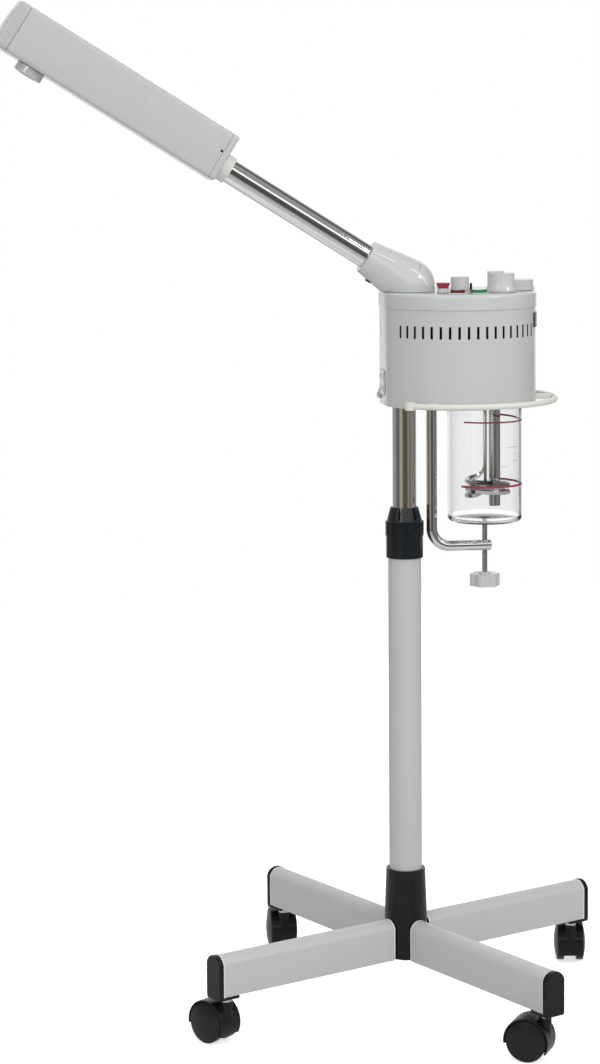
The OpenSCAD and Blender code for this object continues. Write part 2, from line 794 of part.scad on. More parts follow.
module boiler_head() {
    color(STEEL) difference() {
        translate([jar_x, 0, floor_z]) union() {
            cylinder(r = skirt_out, h = boiler_top - floor_z);
        }
        translate([jar_x, 0, floor_z - 1]) cylinder(r = skirt_in, h = boiler_z - floor_z + 1);
        translate([level_x, 0, boiler_z - 1]) cylinder(r = level_r + 0.05, h = level_seat + 1);
        translate([hose_x, 0, boiler_z - 1]) cylinder(r = hose_r - 2, h = boiler_t + 2);
        for (leg = [top_leg, low_leg]) translate([coil_x + leg[0], leg[1], boiler_z - 1])
            cylinder(r = coil_leg + run, h = boiler_t + 2);
        translate([head_x + filler_at[0], filler_at[1], boiler_z - 1])
            cylinder(r = inflow_r, h = boiler_t + 2);
    }
}

module jar_gasket() {
    color(RUBBER) translate([jar_x, 0, gasket_z]) ring(skirt_in - 0.1, jar_r - jar_wall - 2, gasket_t);
}

// Heating tube: down one leg, out to the top turn, round the coil, and back up inside it
function polar(r, a, z) = [coil_x + r * cos(a), r * sin(a), z];
// Way out from a leg at s = 0 to the ring at s = 1, in radius and in angle
function way_out(s) = 3 * pow(s, 2) - 2 * pow(s, 3);

heater_points = concat(
    [for (z = [heater_top, top_straight_z]) [coil_x + top_leg[0], top_leg[1], z]],
    [for (i = [0:sweep_steps - 1]) let (s = i / sweep_steps)
        polar(norm(top_leg) + (coil_r - norm(top_leg)) * way_out(s), top_from + sweep_turn * pow(s, 2),
            coil_top_z + top_sweep_h * pow(1 - s, 2))],
    [for (i = [0:coil_steps * coil_turns]) let (s = i / (coil_steps * coil_turns))
        polar(coil_r, top_to + 360 * coil_turns * s, coil_top_z - coil_pitch * coil_turns * s)],
    [for (i = [1:sweep_steps]) let (s = i / sweep_steps)
        polar(coil_r + (norm(low_leg) - coil_r) * way_out(s),
            low_from + (low_to - low_from) * (1 - pow(1 - s, 2)), coil_z + low_sweep_h * pow(s, 2))],
    [for (z = [low_straight_z, heater_top]) [coil_x + low_leg[0], low_leg[1], z]]);

// The tube is thin up its legs and thick round the coil.
heater_radii = [for (p = heater_points)
    let (out = (norm([p[0] - coil_x, p[1]]) - norm(low_leg)) / (coil_r - norm(low_leg)))
    coil_leg + (coil_tube - coil_leg) * max(0, min(1, 1.5 * out))];

module heater_coil() {
    color(STEEL) tube_along(heater_points, heater_radii, 6);
}

// Least gap of the heating tube to itself, over points that are more than eight rings apart
heater_gap = min([for (i = [0:len(heater_points) - 9], j = [i + 8:len(heater_points) - 1])
    norm(heater_points[i] - heater_points[j]) - heater_radii[i] - heater_radii[j]]);
echo(heater_gap = heater_gap);

module level_tube() {
    color(STEEL) translate([level_x, 0, level_z]) difference() {
        cylinder(r = level_r, h = boiler_z + level_seat - level_z);
        translate([0, 0, -1]) cylinder(r = level_r - 1.2, h = boiler_z - level_z);
    }
}

// Hose from the boiler head up, across and up again into the elbow's spigot
module hose_run(r) {
    translate([hose_x, 0, boiler_top]) cylinder(r = r, h = hose_run_z - hose_bend - boiler_top);
    translate([hose_x - hose_bend, 0, hose_run_z - hose_bend]) rotate([90, 0, 0])
        rotate_extrude(angle = 90) translate([hose_bend, 0]) circle(r = r);
    translate([elbow_x + hose_bend, 0, hose_run_z]) rotate([0, 90, 0])
        cylinder(r = r, h = hose_x - elbow_x - 2 * hose_bend);
    translate([elbow_x + hose_bend, 0, hose_run_z + hose_bend]) rotate([90, 0, 0])
        rotate([0, 0, 180]) rotate_extrude(angle = 90) translate([hose_bend, 0]) circle(r = r);
    translate([elbow_x, 0, hose_run_z + hose_bend]) cylinder(r = r, h = hose_top - hose_run_z - hose_bend);
}

module steam_hose() {
    color(RUBBER) difference() {
        hose_run(hose_r);
        hose_run(hose_r - hose_wall);
    }
}

module control_board() {
    color(GREEN) translate([head_x - board_size[0] / 2, board_y, floor_z]) {
        cube(board_size);
        translate([8, -choke_size[1], 12]) cube([choke_size[0], choke_size[1] + 0.1, choke_size[2]]);
    }
}

module filler_pipe() {
    color(RUBBER) translate([head_x + filler_at[0], filler_at[1], boiler_top])
        ring(filler_pipe_r, filler_pipe_r - 2, lid_z + 3 - boiler_top);
}

module at_rocker(a) {
    translate([head_x, 0, lid_z]) rotate([0, 0, a])
        translate([rocker_ring, 0, 0]) rotate([0, 0, 90]) children();
}

module switch_bezels() {
    l = rocker_l + 2 * (gap + bezel_rim);
    w = rocker_w + 2 * (gap + bezel_rim);
    color(PALE) difference() {
        for (a = rocker_angles) at_rocker(a) {
            translate([-l / 2, -w / 2, 0]) cube([l, w, bezel_rise]);
            translate([-rocker_l / 2 - bezel_body, -rocker_w / 2 - bezel_body, -lid_t - 6])
                cube([rocker_l + 2 * bezel_body, rocker_w + 2 * bezel_body, lid_t + 6]);
        }
        for (a = rocker_angles) at_rocker(a) {
            translate([-rocker_l / 2 - gap, -rocker_w / 2 - gap, -lid_t - 4])
                cube([rocker_l + 2 * gap, rocker_w + 2 * gap, 20]);
            rocker_pin(rocker_pin_r + run, rocker_pin_out + 0.1);
        }
    }
}

// Pin that a rocker tilts on, reaching out of both its sides
module rocker_pin(r, out) {
    translate([0, rocker_w / 2 + out, rocker_pin_z]) rotate([90, 0, 0])
        cylinder(r = r, h = rocker_w + 2 * out);
}

module rocker(tint, a) {
    half = rocker_l / 2;
    color(tint) at_rocker(a) {
        rocker_pin(rocker_pin_r, rocker_pin_out);
        translate([0, rocker_w / 2, 0]) rotate([90, 0, 0]) linear_extrude(rocker_w)
            polygon([[-half + 0.4, rocker_rise], [0, rocker_rise - 1], [half - 0.4, rocker_rise],
                [half - 0.2, 1], [half - 1.6, -rocker_depth], [-half + 1.6, -rocker_depth],
                [-half + 0.2, 1]]);
    }
}

module pilot_lamp() {
    translate([head_x + lamp_at[0], lamp_at[1], lid_z]) {
        color(PALE) difference() {
            union() {
                cylinder(r = lamp_r + 0.2, h = lamp_base_h);
                translate([0, 0, -lid_t - 6]) cylinder(r = lamp_stub_r, h = lid_t + 7);
            }
            translate([0, 0, lamp_base_h - 1]) cylinder(r = lamp_r - 1.5, h = 2);
        }
        color(LAMP) translate([0, 0, lamp_base_h - 1]) {
            cylinder(r = lamp_r - 1.6, h = 1.2);
            translate([0, 0, 1.2]) cylinder(r1 = lamp_r - 1.6, r2 = lamp_r, h = lamp_lens_h - 0.2);
        }
    }
}

// Knob that turns on its own shaft, which passes through the lid
module knob(place, r, h, foot) {
    color(PALE) translate([head_x + place[0], place[1], lid_z]) {
        translate([0, 0, gap]) cylinder(r = r, h = h - gap);
        translate([0, 0, gap]) cylinder(r = r + foot, h = 2);
        translate([0, 0, -lid_t - 10]) cylinder(r = shaft_r, h = lid_t + 11);
    }
}

module timer_knob() {
    difference() {
        knob(timer_at, timer_r, timer_h, 0.8);
        translate([head_x + timer_at[0] - 0.6, timer_at[1] - timer_r, lid_z + timer_h - 0.6])
            cube([1.2, timer_r, 2]);
    }
}

module vapour_knob() {
    grip_h = 2.4;
    knob(vapour_at, vapour_r, vapour_h, vapour_flare);
    color(PALE) translate([head_x + vapour_at[0], vapour_at[1], lid_z + 1.9])
        cylinder(r1 = vapour_r + vapour_flare, r2 = vapour_r - 0.1, h = vapour_foot_h - 1.9);
    color(PALE)
        translate([head_x + vapour_at[0] - vapour_r + 0.4, vapour_at[1] - 4.5, lid_z + vapour_h - 0.1])
            cube([vapour_r + 2, 9, grip_h]);
}

module filler_cap() {
    color(PALE) translate([head_x + filler_at[0], filler_at[1], lid_z]) difference() {
        union() {
            translate([0, 0, gap]) cylinder(r = filler_r, h = filler_h - gap);
            translate([0, 0, gap]) cylinder(r = filler_r + 1.3, h = 4);
        }
        translate([0, 0, -1]) cylinder(r = filler_pipe_r + gap, h = filler_h - 2);
        translate([0, 0, -1]) ring(filler_r - 2, filler_pipe_r + 3, filler_h - 2);
    }
}

module bracket_rod() {
    straight = jar_x + rod_end - rod_x - rod_bend;
    color(CHROME) difference() {
        union() {
            translate([rod_x, 0, rod_z + rod_bend]) cylinder(r = rod_r, h = rod_top - rod_z - rod_bend);
            translate([rod_x + rod_bend, 0, rod_z + rod_bend]) rotate([90, 0, 0]) rotate([0, 0, 180])
                rotate_extrude(angle = 90) translate([rod_bend, 0]) circle(r = rod_r);
            translate([rod_x + rod_bend, 0, rod_z]) rotate([0, 90, 0]) cylinder(r = rod_r, h = straight);
            translate([rod_x, 0, floor_z + rod_boss_h + gap]) cylinder(r = rod_r + 3, h = rod_collar_h);
        }
        translate([jar_x, 0, rod_z - rod_r - 1]) cylinder(r = screw_r + run, h = 2 * rod_r + 2);
    }
}

module clamp_pad() {
    color(RUBBER) translate([jar_x, 0, pad_z]) difference() {
        cylinder(r = pad_r, h = pad_t);
        translate([0, 0, -1]) cylinder(r = screw_r - 0.8 + run, h = pad_t);
    }
}

module clamp_screw() {
    color(STEEL) translate([jar_x, 0, 0]) {
        translate([0, 0, screw_bottom]) cylinder(r = screw_r, h = pad_z - gap - screw_bottom);
        translate([0, 0, pad_z - gap - 1]) cylinder(r = screw_r - 0.8, h = pad_t);
    }
}

module clamp_knob() {
    color(PALE) translate([jar_x, 0, screw_bottom - knob_h]) difference() {
        union() {
            cylinder(r = knob_r - 3, h = knob_h);
            for (i = [0:5]) rotate([0, 0, 60 * i]) translate([knob_r - 6, 0, 0]) cylinder(r = 6, h = knob_h);
            cylinder(r = 7, h = knob_h + 2);
        }
        translate([0, 0, knob_h]) cylinder(r = screw_r + 0.05, h = 3);
    }
}

module jar() {
    in_foot = jar_foot - jar_wall;
    color(GLASS) translate([jar_x, 0, jar_z]) rotate_extrude()
        polygon(concat(
            [[0, 0]], arc([jar_r - jar_foot, jar_foot], jar_foot, 270, 360, 8),
            [[jar_r, jar_h - 1], [jar_r - 0.6, jar_h], [jar_r - jar_wall + 0.6, jar_h],
                [jar_r - jar_wall, jar_h - 1]],
            arc([jar_r - jar_foot, jar_foot], in_foot, 360, 270, 8), [[0, jar_wall]]));
}

// The arm's own frame: X runs from the pivot point out along the arm tube and Z points up from it.
module in_arm() {
    translate([elbow_x, 0, elbow_z]) rotate([0, arm_tilt - 180, 0]) mirror([0, 0, 1]) children();
}

module along_arm(from, to, r) {
    translate([from, 0, 0]) rotate([0, 90, 0]) cylinder(r = r, h = to - from);
}

module elbow() {
    foot_z = lid_z + gap;
    room = 2 * (mouth_at + elbow_r);
    color(LIGHT) difference() {
        union() {
            intersection() {
                union() {
                    translate([elbow_x, 0, elbow_z - 2.2]) sphere(r = elbow_r - 0.3);
                    in_arm() translate([2.3, 0, 0]) rotate([0, 90, 0])
                        cylinder(r1 = elbow_r - 1.6, r2 = mouth_r, h = mouth_at - 2.3);
                }
                translate([elbow_x - room, -room, foot_z]) cube([2 * room, 2 * room, room]);
            }
            translate([elbow_x, 0, foot_z]) cylinder(r = elbow_r, h = 4);
            translate([elbow_x, 0, lid_z - spigot_len]) cylinder(r = spigot_r, h = spigot_len + 2);
        }
        in_arm() along_arm(18, mouth_at + 5, arm_r + run);
        in_arm() along_arm(0, 20, steam_r);
        translate([elbow_x, 0, lid_z - spigot_len - 1]) cylinder(r = steam_r, h = spigot_len + elbow_up + 4);
        in_arm() translate([screw_at, 0, -room]) {
            cylinder(r = 2.5, h = room);
            cylinder(r = 4, h = room - screw_seat);
        }
    }
}

module elbow_screw() {
    color(BLACK) in_arm() translate([screw_at, 0, -screw_seat - 2.2]) {
        cylinder(r = 3.6, h = 2.2);
        cylinder(r = 2.45, h = screw_seat + 2.2 - arm_r - gap);
    }
}

module arm_tube() {
    color(CHROME) in_arm() difference() {
        along_arm(20, box_from + 6, arm_r);
        along_arm(19, box_from + 7, arm_r - arm_wall);
    }
}

module ferrule() {
    color(CREAM) in_arm() difference() {
        along_arm(ferrule_at, ferrule_at + ferrule_l, ferrule_r);
        along_arm(ferrule_at - 1, ferrule_at + ferrule_l + 1, arm_r + 0.05);
    }
}

// Block with the box's outline along the arm, smaller all round by an inset
module box_bar(from, to, inset) {
    translate([from, 0, box_off]) rotate([90, 0, 90]) linear_extrude(to - from)
        polygon(round_rect(box_w - 2 * inset, box_h - 2 * inset, box_round - min(inset, box_round - 1)));
}

module rear_cap() {
    color(LIGHT) in_arm() difference() {
        union() {
            box_bar(box_at, box_from, 0);
            box_bar(box_from - 1, box_from + 6, box_wall + 0.1);
        }
        along_arm(box_at - 1, box_from + 7, arm_r + 0.05);
    }
}

module arm_box() {
    color(LIGHT) in_arm() difference() {
        box_bar(box_from, box_to, 0);
        box_bar(box_from - 1, box_to + 1, box_wall);
        translate([nozzle_at, 0, box_off - box_h / 2 - 1]) cylinder(r = nozzle_neck + run, h = box_wall + 2);
    }
}

module front_cap() {
    sag = front_bulge_r - sqrt(pow(front_bulge_r, 2) - pow(box_h / 2, 2));
    color(PALE) in_arm() difference() {
        union() {
            intersection() {
                box_bar(box_to, box_to + front_t + sag, 0);
                translate([box_to + front_t + sag - front_bulge_r, 0, box_off])
                    sphere(r = front_bulge_r, $fn = 200);
            }
            box_bar(box_to - 6, box_to + 1, box_wall + 0.1);
        }
        box_bar(box_to - 7, box_to + front_t - 4, box_wall + 2.5);
    }
}

module nozzle() {
    under = box_off - box_h / 2;
    color(PALE) in_arm() translate([nozzle_at, 0, under]) difference() {
        union() {
            translate([0, 0, -nozzle_h]) cylinder(r1 = nozzle_r - 1.2, r2 = nozzle_r, h = 1.2);
            translate([0, 0, 1.2 - nozzle_h]) cylinder(r = nozzle_r, h = nozzle_h - 1.2 - gap);
            translate([0, 0, -1]) cylinder(r = nozzle_neck, h = box_wall + 1 + gap);
            translate([0, 0, box_wall + gap]) cylinder(r = nozzle_r, h = 3);
        }
        translate([0, 0, -nozzle_h - 1]) cylinder(r = outlet_r, h = nozzle_h + box_wall + 6);
    }
}

hub();
leg(front_left_index);  // leg_front_left
leg(front_right_index);  // leg_front_right
leg(back_left_index);  // leg_back_left
leg(back_right_index);  // leg_back_right
leg_end_caps();
base_bolts();
outer_tube();
guide_bush();
collar_body();
collar_nut();
caster_hood(front_left_index);  // caster_hood_fl
caster_hood(front_right_index);  // caster_hood_fr
caster_hood(back_left_index);  // caster_hood_bl
caster_hood(back_right_index);  // caster_hood_br
caster_pins(front_left_index);  // caster_pins_fl
caster_pins(front_right_index);  // caster_pins_fr
caster_pins(back_left_index);  // caster_pins_bl
caster_pins(back_right_index);  // caster_pins_br
caster_wheels(front_left_index);  // caster_wheels_fl
caster_wheels(front_right_index);  // caster_wheels_fr
caster_wheels(back_left_index);  // caster_wheels_bl
caster_wheels(back_right_index);  // caster_wheels_br
inner_post();
post_foot();
base_plate();
housing_shell();
lid();
post_socket();
socket_plate();
power_inlet();
badge_plate();
guard_ring();
boiler_head();
jar_gasket();
heater_coil();
level_tube();
steam_hose();
control_board();
filler_pipe();
switch_bezels();
pilot_lamp();
rocker(RED, rocker_angles[0]);  // rocker_red
rocker(GREEN, rocker_angles[1]);  // rocker_green
timer_knob();
vapour_knob();
filler_cap();
bracket_rod();
clamp_pad();
clamp_screw();
clamp_knob();
jar();
elbow();
elbow_screw();
arm_tube();
ferrule();
rear_cap();
arm_box();
front_cap();
nozzle();
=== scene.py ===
from math import cos, pi, radians, sin

import bmesh
import bpy
from mathutils import Matrix, Vector

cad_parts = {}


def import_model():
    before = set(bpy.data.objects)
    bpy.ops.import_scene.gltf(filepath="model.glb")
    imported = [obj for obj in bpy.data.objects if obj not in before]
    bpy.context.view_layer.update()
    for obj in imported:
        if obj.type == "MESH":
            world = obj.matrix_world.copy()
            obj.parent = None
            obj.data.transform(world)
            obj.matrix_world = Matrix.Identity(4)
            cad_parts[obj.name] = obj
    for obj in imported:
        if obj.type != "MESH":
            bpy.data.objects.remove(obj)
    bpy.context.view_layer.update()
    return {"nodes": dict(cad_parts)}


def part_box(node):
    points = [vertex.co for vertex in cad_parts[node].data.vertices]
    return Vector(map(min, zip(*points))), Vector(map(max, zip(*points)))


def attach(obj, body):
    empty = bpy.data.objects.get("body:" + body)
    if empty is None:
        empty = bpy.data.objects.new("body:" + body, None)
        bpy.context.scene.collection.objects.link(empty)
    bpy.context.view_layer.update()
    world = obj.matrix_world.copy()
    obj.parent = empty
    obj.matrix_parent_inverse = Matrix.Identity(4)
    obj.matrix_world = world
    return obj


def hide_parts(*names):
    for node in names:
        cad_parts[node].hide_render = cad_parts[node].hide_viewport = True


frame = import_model()
nodes = frame["nodes"]
scene = bpy.context.scene
scene.view_settings.view_transform = "Standard"


# Camera
def place_camera():
    sight = radians(-10.598)
    heading = sight + radians(2.1648)
    pitch = -0.05809
    roll = 0.00581
    away = 3.15
    height = 1.012
    forward = Vector((-sin(heading) * cos(pitch), cos(heading) * cos(pitch), sin(pitch)))
    right = Vector((cos(heading), sin(heading), 0.0))
    up = right.cross(forward)
    rolled_right = cos(roll) * right - sin(roll) * up
    rolled_up = sin(roll) * right + cos(roll) * up
    data = bpy.data.cameras.new("camera")
    data.sensor_fit = "AUTO"
    data.sensor_width = 36.0
    data.lens = 92.909
    data.shift_x = 0.0
    data.shift_y = -0.22556
    data.clip_start = 0.05
    data.clip_end = 60.0
    camera = bpy.data.objects.new("camera", data)
    turn = Matrix((rolled_right, rolled_up, -forward)).transposed()
    place = Matrix.Translation((sin(sight) * away, -cos(sight) * away, height))
    camera.matrix_world = place @ turn.to_4x4()
    scene.collection.objects.link(camera)
    scene.camera = camera


place_camera()


# Materials
class Sheet:
    """A material's node tree, with short calls for the nodes it needs."""

    def __init__(self, name):
        self.material = bpy.data.materials.new(name)
        self.material.use_nodes = True
        self.tree = self.material.node_tree
        self.tree.nodes.clear()
        self.output = self.node("OutputMaterial")
        self.coord = self.node("TexCoord")

    def node(self, kind, **values):
        made = self.tree.nodes.new("ShaderNode" + kind)
        for key, value in values.items():
            setattr(made, key, value)
        return made

    def link(self, source, target):
        self.tree.links.new(source, target)

    def mapped(self, stretch, lean=0.0):
        """Object coordinates, turned back by a lean about Y and then scaled."""
        turned_back = self.node("Mapping")
        turned_back.inputs["Rotation"].default_value = (0.0, radians(lean), 0.0)
        self.link(self.coord.outputs["Object"], turned_back.inputs["Vector"])
        mapping = self.node("Mapping")
        mapping.inputs["Scale"].default_value = stretch
        self.link(turned_back.outputs["Vector"], mapping.inputs["Vector"])
        return mapping.outputs["Vector"]

    def noise(self, scale, detail=3.0, stretch=(1, 1, 1), rough=0.5, lean=0.0):
        made = self.node("TexNoise")
        made.inputs["Scale"].default_value = scale
        made.inputs["Detail"].default_value = detail
        made.inputs["Roughness"].default_value = rough
        self.link(self.mapped(stretch, lean), made.inputs["Vector"])
        return made.outputs["Fac"]

    def spread(self, value, low, high, start=0.3, end=0.7):
        made = self.node("MapRange")
        made.inputs["From Min"].default_value = start
        made.inputs["From Max"].default_value = end
        made.inputs["To Min"].default_value = low
        made.inputs["To Max"].default_value = high
        self.link(value, made.inputs["Value"])
        return made.outputs["Result"]

    def blend(self, factor, first, second):
        made = self.node("Mix", data_type="RGBA")
        self.link(factor, made.inputs[0])
        for slot, colour in ((6, first), (7, second)):
            if isinstance(colour, tuple):
                made.inputs[slot].default_value = (*colour, 1.0)
            else:
                self.link(colour, made.inputs[slot])
        return made.outputs[2]

    def bump(self, height, depth):
        made = self.node("Bump")
        made.inputs["Strength"].default_value = 1.0
        made.inputs["Distance"].default_value = depth
        self.link(height, made.inputs["Height"])
        return made.outputs["Normal"]

    def surface(self, colour, rough, normal, **settings):
        shader = self.node("BsdfPrincipled")
        if isinstance(colour, tuple):
            shader.inputs["Base Color"].default_value = (*colour, 1.0)
        else:
            self.link(colour, shader.inputs["Base Color"])
        if isinstance(rough, float):
            shader.inputs["Roughness"].default_value = rough
        else:
            self.link(rough, shader.inputs["Roughness"])
        self.link(normal, shader.inputs["Normal"])
        for key, value in settings.items():
            shader.inputs[key.replace("_", " ")].default_value = value
        self.link(shader.outputs[0], self.output.inputs["Surface"])


PEEL_DEPTH = 0.00003
POLISH_DEPTH = 0.0000006
TURNING_DEPTH = 0.00002
GLASS_WAVE = 0.00006
GLASS_DENSITY = 15.0


def shade(tone, factor):
    return tuple(min(1.0, channel * factor) for channel in tone)


def moulded(name, tone, rough, mottle, broad, grain, depth, swing=0.05, **settings):
    """Moulded plastic: a faint broad mottle, a fine grain and an uneven gloss."""
    made = Sheet(name)
    cloud = made.noise(broad, 4.0)
    colour = made.blend(made.spread(cloud, 0.0, 1.0), shade(tone, 1.0 - mottle), shade(tone, 1.0 + mottle))
    fine = made.noise(grain, 2.0)
    gloss = made.spread(made.noise(broad * 5.0, 5.0), rough - swing, rough + swing)
    made.surface(colour, gloss, made.bump(fine, depth), **settings)
    return made.material


def painted(name, tone, rough, peel):
    """Sprayed paint: orange peel, a faint mottle and sparse grey flecks."""
    made = Sheet(name)
    colour = made.blend(made.spread(made.noise(7.0, 4.0), 0.0, 1.0), shade(tone, 0.975), shade(tone, 1.02))
    fleck = made.spread(made.noise(1700.0, 1.0), 0.0, 1.0, 0.56, 0.7)
    colour = made.blend(made.spread(fleck, 0.0, 0.05, 0.0, 1.0), colour, (0.30, 0.31, 0.32))
    peel_normal = made.bump(made.noise(peel, 1.5), PEEL_DEPTH)
    gloss = made.spread(made.noise(40.0, 5.0), rough - 0.05, rough + 0.06)
    made.surface(colour, gloss, peel_normal)
    return made.material


def plated(name, tone, rough, along, lean=0.0):
    """Bright plating: fine lengthways polishing lines and a slight smear in the gloss."""
    made = Sheet(name)
    lines = made.noise(160.0, 5.0, along, 0.7, lean)
    smear = made.noise(22.0, 6.0)
    gloss = made.spread(smear, rough * 0.7, rough * 1.8)
    colour = made.blend(made.spread(smear, 0.0, 1.0), shade(tone, 0.96), shade(tone, 1.02))
    made.surface(colour, gloss, made.bump(lines, POLISH_DEPTH), Metallic=1.0)
    return made.material


def brushed(name, tone, rough, along):
    """Machined metal with fine turning lines."""
    made = Sheet(name)
    lines = made.noise(420.0, 4.0, along, 0.7)
    colour = made.blend(made.spread(lines, 0.0, 1.0), shade(tone, 0.86), shade(tone, 1.1))
    gloss = made.spread(made.noise(60.0, 4.0), rough - 0.06, rough + 0.08)
    made.surface(colour, gloss, made.bump(lines, TURNING_DEPTH), Metallic=1.0)
    return made.material


def board():
    """Printed board: solder mask over straight tracks, with a scatter of tinned pads."""
    made = Sheet("board_green")
    brick = made.node("TexBrick")
    brick.inputs["Scale"].default_value = 160.0
    brick.inputs["Mortar Size"].default_value = 0.06
    brick.inputs["Color1"].default_value = (0.02, 0.12, 0.06, 1)
    brick.inputs["Color2"].default_value = (0.03, 0.16, 0.08, 1)
    brick.inputs["Mortar"].default_value = (0.06, 0.26, 0.13, 1)
    made.link(made.mapped((1, 1, 1)), brick.inputs["Vector"])
    pads = made.node("TexVoronoi")
    pads.inputs["Scale"].default_value = 220.0
    made.link(made.mapped((1, 1, 1)), pads.inputs["Vector"])
    spot = made.spread(pads.outputs["Distance"], 1.0, 0.0, 0.14, 0.18)
    colour = made.blend(spot, brick.outputs["Color"], (0.55, 0.56, 0.54))
    made.surface(colour, 0.35, made.bump(brick.outputs["Fac"], 0.00003))
    return made.material


def glass(name, tone, tint):
    """Blown glass: a faint waviness, nearly clear, darker where a ray runs along the wall."""
    made = Sheet(name)
    wave = made.noise(26.0, 2.0)
    made.surface(tone, 0.012, made.bump(wave, GLASS_WAVE), IOR=1.47, Transmission_Weight=1.0)
    absorb = made.node("VolumeAbsorption")
    absorb.inputs["Color"].default_value = (*tint, 1.0)
    absorb.inputs["Density"].default_value = GLASS_DENSITY
    made.link(absorb.outputs[0], made.output.inputs["Volume"])
    return made.material


LIGHT_GREY = (0.545, 0.56, 0.55)
CHROME_TONE = (0.90, 0.90, 0.885)
SATIN_COAT = {"Coat_Weight": 0.4, "Coat_Roughness": 0.1}
finish = {
    "housing_plastic": moulded("housing_plastic", LIGHT_GREY, 0.24, 0.012, 7.0, 1300.0, 0.000005, 0.04,
                               Coat_Weight=0.5, Coat_Roughness=0.08),
    "pale_plastic": moulded("pale_plastic", (0.555, 0.565, 0.56), 0.26, 0.012, 11.0, 1500.0, 0.000006, 0.04,
                            **SATIN_COAT),
    "arm_grey": moulded("arm_grey", (0.520, 0.517, 0.513), 0.26, 0.003, 11.0, 1500.0, 0.000006, 0.04,
                        **SATIN_COAT),
    "cap_grey": moulded("cap_grey", (0.49, 0.485, 0.48), 0.26, 0.003, 11.0, 1500.0, 0.000006, 0.04,
                        **SATIN_COAT),
    "cream_plastic": moulded("cream_plastic", (0.72, 0.715, 0.66), 0.42, 0.02, 16.0, 1100.0, 0.00001),
    "black_plastic": moulded("black_plastic", (0.0085, 0.0088, 0.0095), 0.25, 0.12, 30.0, 1900.0, 0.000012,
                             Specular_IOR_Level=0.24, Coat_Weight=0.06, Coat_Roughness=0.05),
    "wheel_plastic": moulded("wheel_plastic", (0.0095, 0.0095, 0.0098), 0.3, 0.15, 45.0, 1100.0, 0.00002,
                             0.08, Specular_IOR_Level=0.34),
    "badge_black": moulded("badge_black", (0.012, 0.012, 0.014), 0.22, 0.2, 25.0, 900.0, 0.000004),
    "rubber": moulded("rubber", (0.035, 0.035, 0.038), 0.72, 0.2, 40.0, 700.0, 0.00004, 0.08),
    "leg_paint": painted("leg_paint", (0.535, 0.55, 0.54), 0.34, 380.0),
    "column_paint": painted("column_paint", (0.53, 0.54, 0.535), 0.33, 420.0),
    "chrome": plated("chrome", CHROME_TONE, 0.05, (6, 6, 0.2)),
    "chrome_leaning": plated("chrome_leaning", CHROME_TONE, 0.05, (6, 6, 0.05), 57.7),
    "chrome_coil": plated("chrome_coil", (0.75, 0.75, 0.735), 0.06, (6, 6, 0.2)),
    "collar_black": moulded("collar_black", (0.0085, 0.011, 0.0135), 0.2, 0.12, 30.0, 1900.0, 0.00001,
                            Specular_IOR_Level=0.5),
    "steel": brushed("steel", (0.70, 0.70, 0.685), 0.2, (1, 1, 18)),
    "brass": brushed("brass", (0.62, 0.46, 0.16), 0.3, (1, 1, 3)),
    "cast_alloy": moulded("cast_alloy", (0.42, 0.42, 0.42), 0.5, 0.1, 60.0, 500.0, 0.0001, 0.1,
                          Metallic=0.85),
    "board_green": board(),
    "lamp_red": moulded("lamp_red", (0.42, 0.038, 0.042), 0.2, 0.06, 80.0, 600.0, 0.00001, 0.03,
                        Transmission_Weight=0.25),
    "rocker_red": moulded("rocker_red", (0.13, 0.006, 0.014), 0.24, 0.08, 70.0, 1300.0, 0.00001, 0.04),
    "rocker_green": moulded("rocker_green", (0.015, 0.17, 0.06), 0.24, 0.08, 70.0, 1300.0, 0.00001, 0.04),
    "jar_glass": glass("jar_glass", (0.984, 0.984, 0.989), (0.50, 0.50, 0.53)),
    "red_print": moulded("red_print", (0.30, 0.035, 0.065), 0.45, 0.1, 200.0, 2000.0, 0.000005),
    "grey_print": moulded("grey_print", (0.42, 0.43, 0.46), 0.5, 0.1, 200.0, 2000.0, 0.000005),
    # Painted shade: near-black for the housing's inner walls and slot sides.
    "housing_inside_painted_shade": moulded("housing_inside_painted_shade", (0.012, 0.012, 0.013), 0.6, 0.1, 30.0, 900.0, 0.00001),
    # Painted highlight: a pale material for the leg-end strips and the elbow lines.
    "cut_edge": moulded("cut_edge", (0.86, 0.865, 0.86), 0.3, 0.03, 90.0, 900.0, 0.00001),
    "dark_screw": brushed("dark_screw", (0.10, 0.10, 0.105), 0.35, (1, 1, 1)),
}
OWN_FINISH = {"arm_tube": "chrome_leaning", "collar_body": "collar_black", "collar_nut": "collar_black",
              "clamp_pad": "pale_plastic", "arm_box": "arm_grey", "rear_cap": "arm_grey",
              "nozzle": "arm_grey", "front_cap": "cap_grey", "level_tube": "chrome",
              "heater_coil": "chrome_coil"}
slot_of = {}
for name, node in nodes.items():
    slot_of[name] = node.data.materials[0].name.split(".")[0]
    node.material_slots[0].material = finish[OWN_FINISH.get(name, slot_of[name])]


# Pieces
def link_object(name, mesh):
    made = bpy.data.objects.new(name, mesh)
    scene.collection.objects.link(made)
    return made


def piece(name, mesh, body, slot_name, material=None):
    """A new piece on a body, with its finish."""
    made = link_object(name, mesh)
    mesh.materials.clear()
    mesh.materials.append(finish[material or slot_name])
    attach(made, body)
    return made


def soften(made, width, angle, segments):
    edge = made.modifiers.new("edges", "BEVEL")
    edge.limit_method = "ANGLE"
    edge.angle_limit = radians(angle)
    edge.width = width
    edge.segments = segments
    edge.use_clamp_overlap = False
    edge.harden_normals = True
    edge.miter_outer = "MITER_ARC"


WELD = 2e-6
FLAT_ANGLE = 1.0


